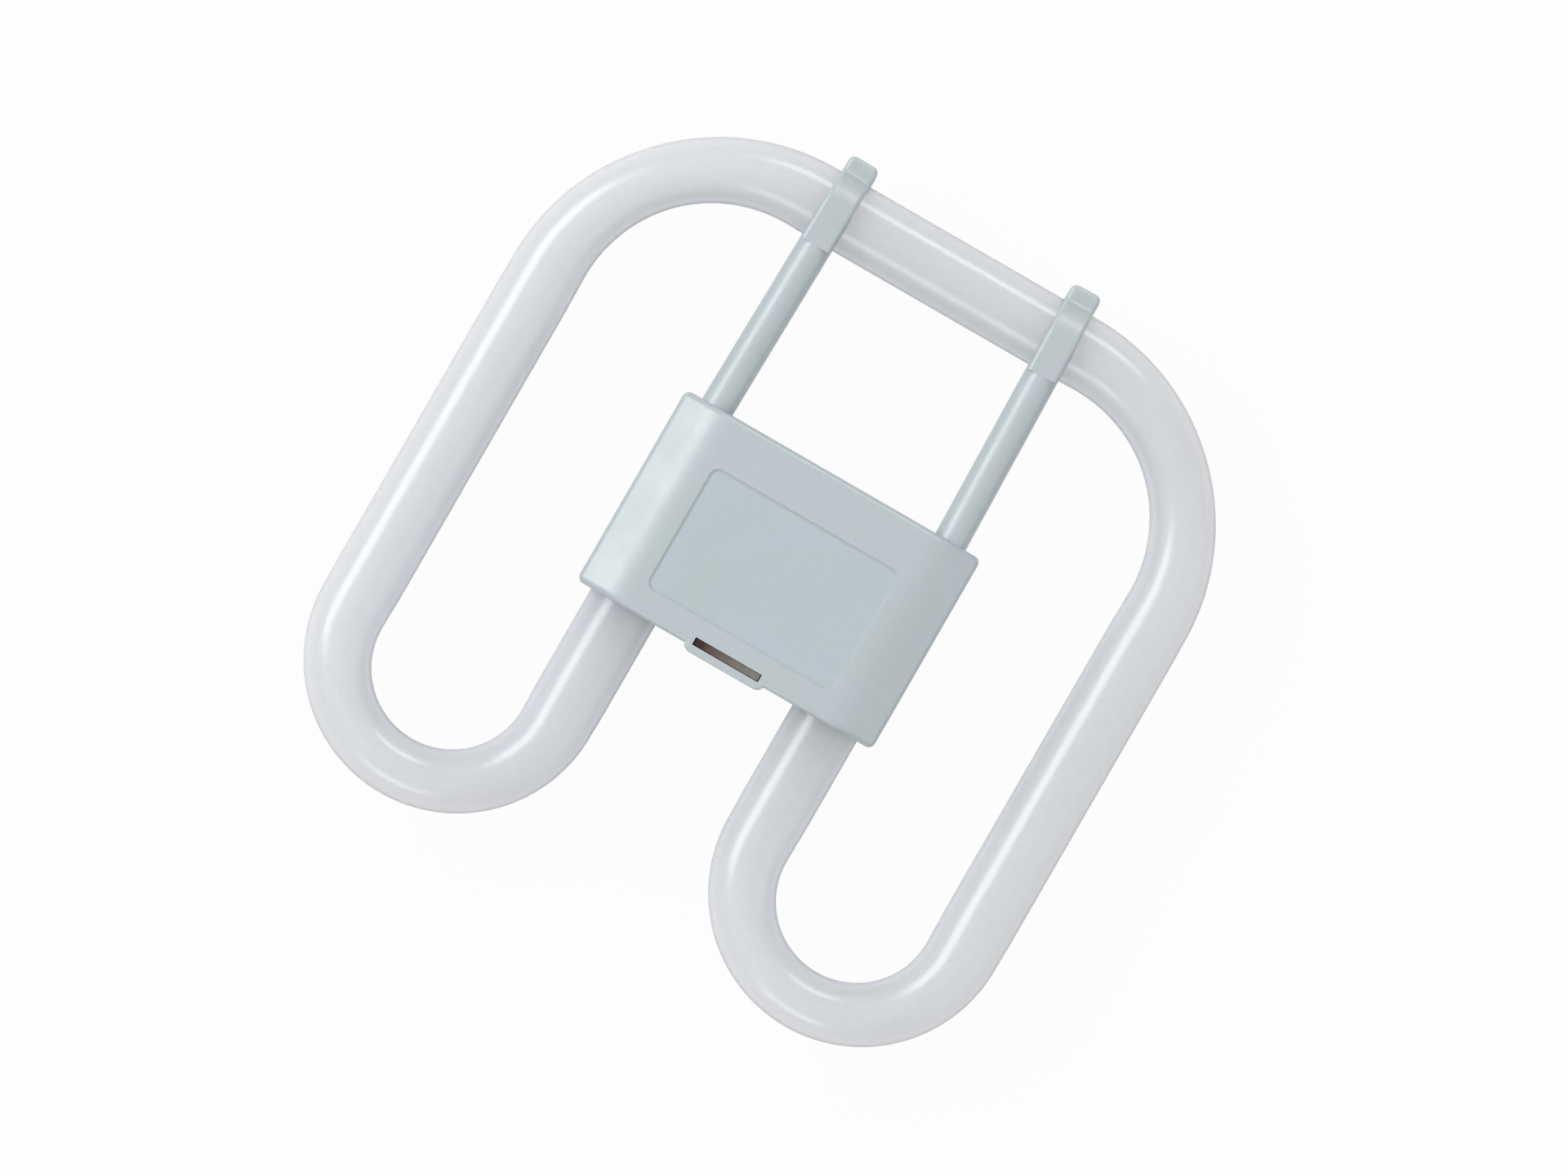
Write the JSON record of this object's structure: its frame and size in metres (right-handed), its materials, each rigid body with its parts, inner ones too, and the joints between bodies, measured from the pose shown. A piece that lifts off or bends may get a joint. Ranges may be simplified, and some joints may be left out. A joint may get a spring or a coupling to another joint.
{
  "type": "square compact fluorescent lamp",
  "caption": "Flat square compact fluorescent lamp: a bent white glass tube around a moulded housing, clipped by two arms, with a recessed pin cap at the back.",
  "frame": {"origin": "on the back plane of the housing, under the middle of the lamp's outline", "axes": "+X across the lamp, +Y along the arms towards the clips, +Z out of the front face"},
  "size_m": [0.138, 0.1402, 0.0272],
  "materials": {
    "coated_glass": "gloss glass over a white coating",
    "housing_plastic": "satin moulded",
    "pin_brass": "turned",
    "phenolic_board": "sawn edge",
    "starter_glass": "clear glass",
    "capacitor_dip": "dipped",
    "lead_metal": "drawn wire",
    "sleeve_fibre": "braided glass fibre",
    "cement": "rough"
  },
  "bodies": {
    "root": {"discharge_tube": "coated_glass", "front_housing": "housing_plastic", "rear_housing": "housing_plastic", "contact_pin_left": "pin_brass", "contact_pin_right": "pin_brass", "starter_board": "phenolic_board", "starter_bottle": "starter_glass", "suppressor_capacitor": "capacitor_dip", "cement_collar_left": "cement", "cement_collar_right": "cement", "starter_lead_left": "lead_metal", "capacitor_lead_left": "lead_metal", "pin_wire_left": "lead_metal", "starter_wire_left": "lead_metal", "pin_wire_sleeve_left": "sleeve_fibre", "starter_wire_sleeve_left": "sleeve_fibre", "starter_lead_right": "lead_metal", "capacitor_lead_right": "lead_metal", "pin_wire_right": "lead_metal", "starter_wire_right": "lead_metal", "pin_wire_sleeve_right": "sleeve_fibre", "starter_wire_sleeve_right": "sleeve_fibre"}
  },
  "joints": []
}
